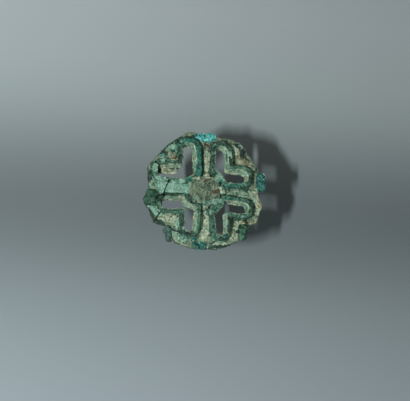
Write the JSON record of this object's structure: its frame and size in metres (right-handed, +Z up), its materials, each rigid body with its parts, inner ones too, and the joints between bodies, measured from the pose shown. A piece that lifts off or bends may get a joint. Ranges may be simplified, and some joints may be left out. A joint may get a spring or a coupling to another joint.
{
  "type": "compartmented stamp seal",
  "caption": "Openwork cast stamp seal: scalloped plate with L-shaped openings framed by raised walls, a central block, and a pierced carrying loop on the back.",
  "frame": {"origin": "centre of the cross of channels, in the plane of the stamping face", "axes": "-Y out of the stamping face, +Y towards the carrying loop, +Z up and +X to the right as one looks at the stamping face"},
  "size_m": [0.055, 0.0128, 0.0525],
  "materials": {
    "plate_bronze": "matte",
    "wall_bronze": "matte",
    "boss_bronze": "matte",
    "loop_bronze": "matte",
    "mending_resin": "matte",
    "turquoise_growth": "matte",
    "teal_growth": "matte",
    "dark_growth": "matte",
    "grey_growth": "matte",
    "green_growth": "matte",
    "mint_growth": "matte",
    "burial_earth": "matte"
  },
  "bodies": {
    "root": {"base_plate": "plate_bronze", "rim_fragment": "plate_bronze", "wall_upper_left": "wall_bronze", "wall_upper_right": "wall_bronze", "wall_lower_left": "wall_bronze", "wall_lower_right": "wall_bronze", "fragment_wall_upper": "wall_bronze", "fragment_wall_lower": "wall_bronze", "central_boss": "boss_bronze", "carrying_loop": "loop_bronze", "seam_spoke": "mending_resin", "seam_lower_rim": "mending_resin", "seam_upper_rim": "mending_resin", "nodule_top": "turquoise_growth", "nodule_right": "teal_growth", "nodule_bottom": "teal_growth", "corrosion_mass_left": "dark_growth", "crust_lower_left": "grey_growth", "crust_lower_right": "green_growth", "spoke_crust_inner": "mint_growth", "spoke_crust_outer": "mint_growth", "earth_plug": "burial_earth", "soil_upper_right": "burial_earth", "soil_upper_left": "burial_earth"}
  },
  "joints": []
}
